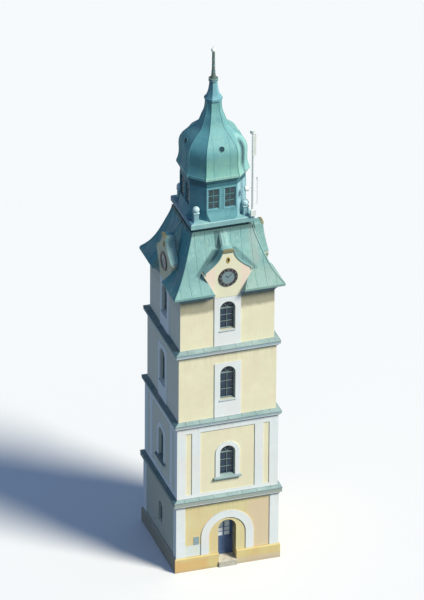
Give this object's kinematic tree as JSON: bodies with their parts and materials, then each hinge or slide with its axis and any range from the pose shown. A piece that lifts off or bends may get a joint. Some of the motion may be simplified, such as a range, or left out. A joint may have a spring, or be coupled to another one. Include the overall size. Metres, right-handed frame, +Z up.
{
  "type": "fire lookout tower",
  "caption": "Square masonry lookout tower with arched windows, clock gables on a concave copper roof, an octagonal lantern under a bell dome, and a spire.",
  "frame": {"origin": "centre of the foot, at ground level", "axes": "+Z up, -Y out of the doorway, +X to the right of someone facing the door"},
  "size_m": [5.8, 5.8, 28.3011],
  "materials": {
    "ochre_render": "painted lime render, matt",
    "yellow_render": "painted lime render, matt",
    "white_render": "painted lime render, matt",
    "gable_render": "painted lime render, matt",
    "moulding_render": "weathered run moulding, matt",
    "step_stone": "worn sandstone",
    "floor_stone": "stone flags",
    "floor_boards": "bare boards on beams",
    "copper": "verdigris on copper sheet, matt",
    "flashing_copper": "bleached verdigris on copper sheet, matt",
    "door_paint": "old paint on boards",
    "black_iron": "dark paint on iron, satin",
    "white_joinery": "painted timber, satin",
    "window_glass": "clear glass",
    "clock_dial": "opal glass",
    "pale_metal": "pale paint, satin",
    "galvanised_steel": "hot-dip zinc, dull"
  },
  "bodies": {
    "tower": {"plinth": "ochre_render", "door_step": "step_stone", "ground_floor": "floor_stone", "ground_front_wall_right": "yellow_render", "ground_front_wall_left": "yellow_render", "ground_wall_over_door": "yellow_render", "ground_right_wall": "yellow_render", "ground_left_wall": "yellow_render", "ground_back_wall": "yellow_render", "door_frame": "door_paint", "door_arch_band": "white_render", "ground_corner_pilasters": "white_render", "lower_string_course": "moulding_render", "middle_string_course": "moulding_render", "upper_string_course": "moulding_render", "string_flashings": "flashing_copper", "upper_floors": "floor_boards", "first_storey_panel_frame": "white_render", "window_surrounds": "white_render", "window_sills": "flashing_copper", "upper_window_sills": "white_render", "window_frames": "white_joinery", "window_glass": "window_glass", "clock_gables": "gable_render", "gable_copings": "copper", "clock_rings": "black_iron", "clock_dials": "clock_dial", "clock_hands": "black_iron", "eaves_cornice": "moulding_render", "skirt_roof": "copper", "gallery_floor": "copper", "corner_posts": "copper", "lantern_base": "copper", "lantern_walls": "copper", "lantern_window_frames": "copper", "lantern_glass": "window_glass", "lantern_cornice": "copper", "dome": "copper", "spire_cone": "copper", "spire_needle": "copper", "finial_ball": "pale_metal", "aerial_mast": "galvanised_steel", "aerial_units": "pale_metal", "first_storey_front_wall": "yellow_render", "first_storey_right_wall": "yellow_render", "first_storey_back_wall": "yellow_render", "first_storey_left_wall": "yellow_render", "second_storey_front_wall": "yellow_render", "second_storey_right_wall": "yellow_render", "second_storey_back_wall": "yellow_render", "second_storey_left_wall": "yellow_render", "third_storey_front_wall": "yellow_render", "third_storey_right_wall": "yellow_render", "third_storey_back_wall": "yellow_render", "third_storey_left_wall": "yellow_render"},
    "door": {"entrance_door": "door_paint", "door_glass": "window_glass", "door_ironwork": "black_iron"}
  },
  "joints": [
    {"name": "door_hinge", "type": "hinge", "parent": "tower", "child": "door", "pos_m": [-0.44, -2.026, 0], "axis": [0, 0, 1], "range_deg": [0, 90]}
  ]
}
